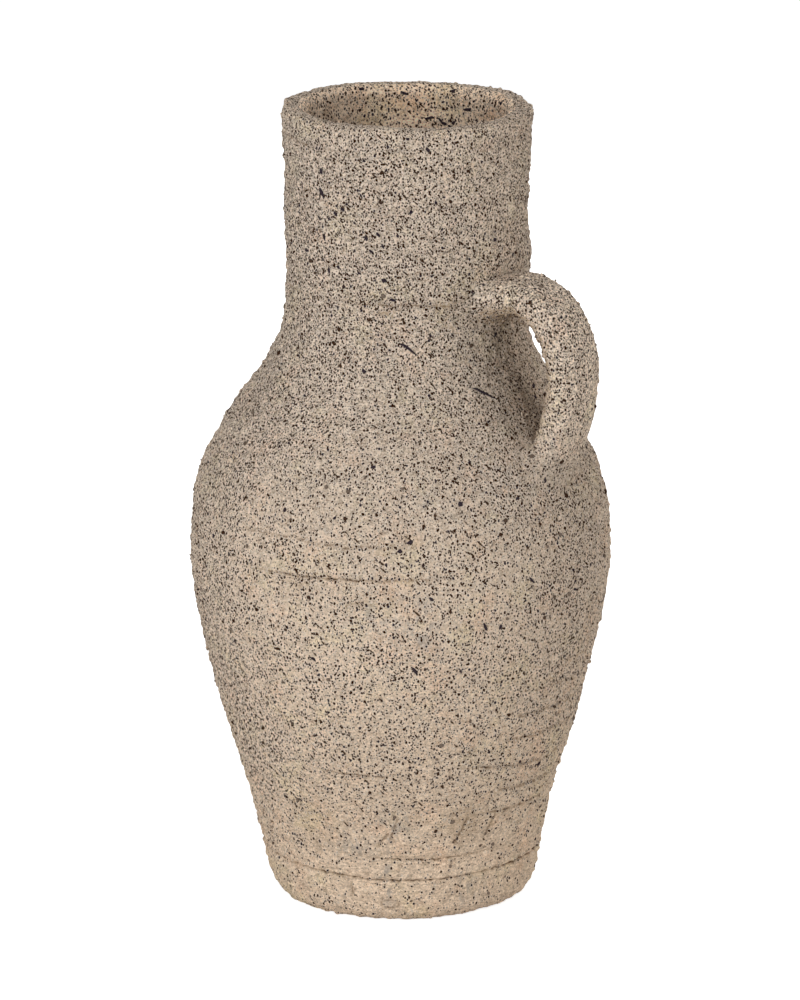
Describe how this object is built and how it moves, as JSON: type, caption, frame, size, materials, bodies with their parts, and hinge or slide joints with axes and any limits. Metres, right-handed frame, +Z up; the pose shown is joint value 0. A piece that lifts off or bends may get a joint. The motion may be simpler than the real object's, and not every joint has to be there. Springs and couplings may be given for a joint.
{
  "type": "clay vase",
  "caption": "Tall jug-shaped flower vase of rough speckled clay, with a straight neck, a swelling belly, a narrow foot and one strap handle.",
  "frame": {"origin": "centre of the flat underside of the foot", "axes": "+Z up through the mouth, +X towards the handle"},
  "size_m": [0.2396, 0.2344, 0.45],
  "materials": {
    "speckled_clay": "rough matt sand-coloured clay, covered with fine dark speckles and proud grains"
  },
  "bodies": {
    "root": {"base_slab": "speckled_clay", "foot_band": "speckled_clay", "heel_coil": "speckled_clay", "lower_wall": "speckled_clay", "belly_wall": "speckled_clay", "shoulder_wall": "speckled_clay", "neck_wall": "speckled_clay", "rim_coil": "speckled_clay", "handle_strap": "speckled_clay", "upper_root": "speckled_clay", "lower_root": "speckled_clay"}
  },
  "joints": []
}
